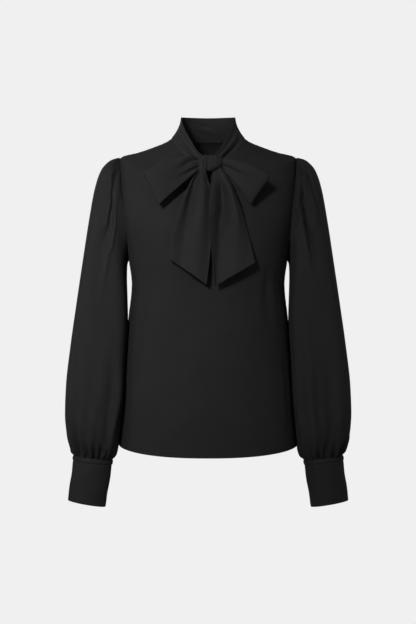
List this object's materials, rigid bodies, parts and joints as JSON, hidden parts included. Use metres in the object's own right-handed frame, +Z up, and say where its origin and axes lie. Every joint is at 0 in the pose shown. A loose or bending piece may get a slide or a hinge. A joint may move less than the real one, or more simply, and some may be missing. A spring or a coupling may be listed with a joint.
{
  "type": "tie neck blouse",
  "caption": "Long-sleeved pull-on blouse with a standing neckband tied in a bow, bishop sleeves gathered into deep buttoned cuffs, and a straight, slightly curved hem.",
  "frame": {"origin": "middle of the neck opening, level with the shoulders where the neckband meets them", "axes": "+Z up, front of the blouse towards -Y, the wearer's left towards +X"},
  "size_m": [0.538, 0.2445, 0.7396],
  "materials": {
    "front": "black crepe, matte with a soft sheen",
    "back": "black crepe, matte with a soft sheen",
    "sleeve_left": "black crepe, matte with a soft sheen",
    "sleeve_right": "black crepe, matte with a soft sheen",
    "cuff_left": "black crepe, doubled and pressed",
    "cuff_right": "black crepe, doubled and pressed",
    "cuff_button_1_left": "black, semi-gloss, moulded",
    "cuff_button_1_right": "black, semi-gloss, moulded",
    "cuff_button_2_left": "black, semi-gloss, moulded",
    "cuff_button_2_right": "black, semi-gloss, moulded",
    "neckband": "black crepe, doubled and pressed",
    "bow_knot": "black crepe, doubled and knotted",
    "bow_loop_right": "black crepe, doubled and soft",
    "bow_loop_left": "black crepe, doubled and soft",
    "bow_tail_right": "black crepe, doubled and soft",
    "bow_tail_left": "black crepe, doubled and soft"
  },
  "bodies": {
    "root": {"front": "front", "back": "back", "sleeve_left": "sleeve_left", "sleeve_right": "sleeve_right", "cuff_left": "cuff_left", "cuff_right": "cuff_right", "cuff_button_1_left": "cuff_button_1_left", "cuff_button_1_right": "cuff_button_1_right", "cuff_button_2_left": "cuff_button_2_left", "cuff_button_2_right": "cuff_button_2_right", "neckband": "neckband", "bow_knot": "bow_knot", "bow_loop_right": "bow_loop_right", "bow_loop_left": "bow_loop_left", "bow_tail_right": "bow_tail_right", "bow_tail_left": "bow_tail_left"}
  },
  "joints": []
}
